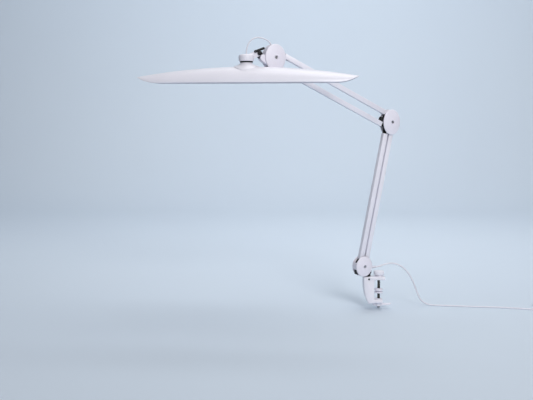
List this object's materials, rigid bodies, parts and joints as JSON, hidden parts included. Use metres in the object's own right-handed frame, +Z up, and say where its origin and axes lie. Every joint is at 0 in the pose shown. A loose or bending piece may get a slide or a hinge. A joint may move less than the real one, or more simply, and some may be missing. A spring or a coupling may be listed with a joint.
{
  "type": "desk lamp",
  "caption": "Architect desk lamp with a C-clamp, two parallel-bar spring arms and a long boat-shaped shade.",
  "frame": {"origin": "middle of the upper clamp pad's face, where it rests on the desk top", "axes": "+Z up, +X from the clamp's spine into the desk, -Y towards the front covers of the arm joints"},
  "size_m": [1.2591, 0.3157, 0.7814],
  "materials": {
    "white_paint": "satin",
    "white_plastic": "satin",
    "black_steel": "satin",
    "black_rubber": "matt",
    "bright_steel": "brushed",
    "dark_steel": "oiled",
    "diffuser_plastic": "satin",
    "cord_plastic": "satin"
  },
  "bodies": {
    "clamp": {"clamp_body": "white_paint", "post_lock_screw": "black_steel", "upper_pad": "white_plastic", "upper_screw": "dark_steel", "upper_locknut": "white_paint", "cord_coil": "cord_plastic", "plug": "cord_plastic"},
    "pad": {"lower_pad": "white_plastic"},
    "screw": {"clamp_screw": "dark_steel", "wing_handle": "white_paint"},
    "base": {"base_plate_front": "black_steel", "base_bracket": "black_steel", "base_cover_front": "white_plastic", "base_cover_back": "white_plastic", "base_cover_screw": "bright_steel", "cord_gland": "white_plastic", "supply_cord": "cord_plastic"},
    "lower_left": {"lower_left_tube": "white_paint", "lower_left_end_near": "black_steel", "lower_left_end_far": "black_steel", "lower_left_spring": "bright_steel"},
    "lower_right": {"lower_right_tube": "white_paint", "lower_right_end_near": "black_steel", "lower_right_end_far": "black_steel"},
    "elbow": {"elbow_plate_front": "black_steel", "elbow_bracket": "black_steel", "elbow_cover_front": "white_plastic", "elbow_cover_back": "white_plastic", "elbow_cover_screw": "bright_steel"},
    "upper_top": {"upper_top_tube": "white_paint", "upper_top_end_near": "black_steel", "upper_top_end_far": "black_steel", "upper_top_spring": "bright_steel"},
    "upper_low": {"upper_low_tube": "white_paint", "upper_low_end_near": "black_steel", "upper_low_end_far": "black_steel", "arm_stop": "black_rubber"},
    "head": {"head_plate_front": "black_steel", "head_bracket": "black_steel", "head_cover_front": "white_plastic", "head_cover_back": "white_plastic", "head_cover_screw": "bright_steel", "loop_cable": "cord_plastic"},
    "neck": {"swivel_cap": "white_paint", "tilt_lock_screw": "black_steel", "friction_washer": "black_rubber"},
    "shade": {"shade_shell": "white_paint", "neck_cone": "white_paint", "spindle_nut": "bright_steel", "light_frame": "white_plastic", "diffuser": "diffuser_plastic", "led_board": "white_plastic", "reflector_tray": "white_plastic"}
  },
  "joints": [
    {"name": "pad_travel", "type": "slide", "parent": "clamp", "child": "pad", "axis": [0, 0, 1], "range_m": [-0.0147, 0]},
    {"name": "screw_turn", "type": "hinge", "parent": "pad", "child": "screw", "pos_m": [0, 0, 0], "axis": [0, 0, 1], "range_deg": [-1836, 36]},
    {"name": "base_swivel", "type": "hinge", "parent": "clamp", "child": "base", "pos_m": [-0.032, 0, 0.05], "axis": [0, 0, 1], "range_deg": [-110, 72]},
    {"name": "lower_arm", "type": "hinge", "parent": "base", "child": "lower_left", "pos_m": [-0.05962, -0.01345, 0.07694], "axis": [-0.4384, 0.8988, 0], "range_deg": [-35, 25]},
    {"name": "lower_arm_right", "type": "hinge", "parent": "base", "child": "lower_right", "pos_m": [-0.04318, -0.00543, 0.07306], "axis": [-0.4384, 0.8988, 0], "range_deg": [-35, 25]},
    {"name": "elbow_level", "type": "hinge", "parent": "lower_left", "child": "elbow", "pos_m": [0.01818, 0.0245, 0.48228], "axis": [-0.4384, 0.8988, 0], "range_deg": [-25, 35]},
    {"name": "upper_arm", "type": "hinge", "parent": "elbow", "child": "upper_top", "pos_m": [0.03182, 0.03115, 0.51492], "axis": [-0.4384, 0.8988, 0], "range_deg": [-35, 2]},
    {"name": "upper_arm_low", "type": "hinge", "parent": "elbow", "child": "upper_low", "pos_m": [0.01818, 0.0245, 0.48228], "axis": [-0.4384, 0.8988, 0], "range_deg": [-35, 2]},
    {"name": "head_level", "type": "hinge", "parent": "upper_top", "child": "head", "pos_m": [-0.30001, -0.1307, 0.68652], "axis": [-0.4384, 0.8988, 0], "range_deg": [-2, 35]},
    {"name": "head_tilt", "type": "hinge", "parent": "head", "child": "neck", "pos_m": [-0.35609, -0.15805, 0.6826], "axis": [-0.4384, 0.8988, 0], "range_deg": [0, 37], "deforming": ["loop_cable"]},
    {"name": "shade_swivel", "type": "hinge", "parent": "neck", "child": "shade", "pos_m": [-0.386, -0.172, 0.65], "axis": [0, 0, 1], "range_deg": [-112, 3]}
  ],
  "couplings": [
    {"joint": "screw_turn", "follows": "pad_travel", "rad_per_m": 2094.4},
    {"joint": "lower_arm_right", "follows": "lower_arm", "ratio": 1},
    {"joint": "elbow_level", "follows": "lower_arm", "ratio": -1},
    {"joint": "upper_arm_low", "follows": "upper_arm", "ratio": 1},
    {"joint": "head_level", "follows": "upper_arm", "ratio": -1}
  ]
}
